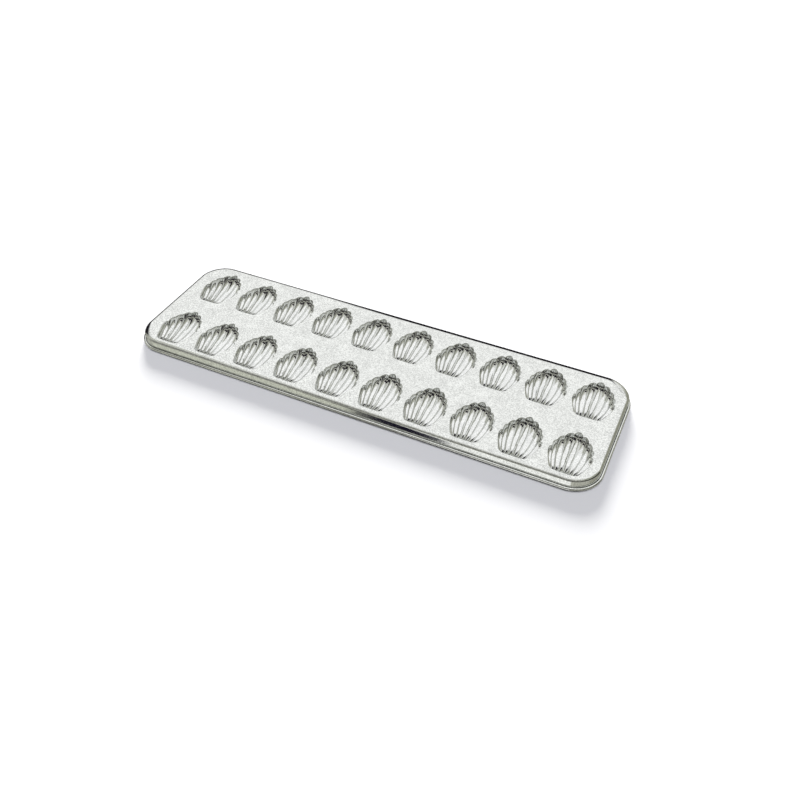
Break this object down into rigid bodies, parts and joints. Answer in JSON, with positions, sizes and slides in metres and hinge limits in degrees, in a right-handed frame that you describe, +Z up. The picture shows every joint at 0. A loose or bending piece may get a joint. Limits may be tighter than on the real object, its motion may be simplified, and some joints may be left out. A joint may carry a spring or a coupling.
{
  "type": "madeleine sheet",
  "caption": "Flat tinplate baking sheet with rows of small fluted shell-shaped moulds, a folded skirt and a rolled wired rim.",
  "frame": {"origin": "on the table below the middle of the sheet", "axes": "+X along the rows, +Y from the hinge side of the shells to their fan side, +Z up"},
  "size_m": [0.3946, 0.1212, 0.0114],
  "materials": {
    "deck_tin": "bright tinplate, slightly dulled, flat sheet",
    "shell_tin": "bright tinplate, drawn and glossy",
    "wire": "plain steel wire, hidden in the rolled rim"
  },
  "bodies": {
    "root": {"deck_sheet": "deck_tin", "rim_wire": "wire", "shell_cup_front_01": "shell_tin", "shell_cup_front_02": "shell_tin", "shell_cup_front_03": "shell_tin", "shell_cup_front_04": "shell_tin", "shell_cup_front_05": "shell_tin", "shell_cup_front_06": "shell_tin", "shell_cup_front_07": "shell_tin", "shell_cup_front_08": "shell_tin", "shell_cup_front_09": "shell_tin", "shell_cup_front_10": "shell_tin", "shell_cup_back_01": "shell_tin", "shell_cup_back_02": "shell_tin", "shell_cup_back_03": "shell_tin", "shell_cup_back_04": "shell_tin", "shell_cup_back_05": "shell_tin", "shell_cup_back_06": "shell_tin", "shell_cup_back_07": "shell_tin", "shell_cup_back_08": "shell_tin", "shell_cup_back_09": "shell_tin", "shell_cup_back_10": "shell_tin"}
  },
  "joints": []
}
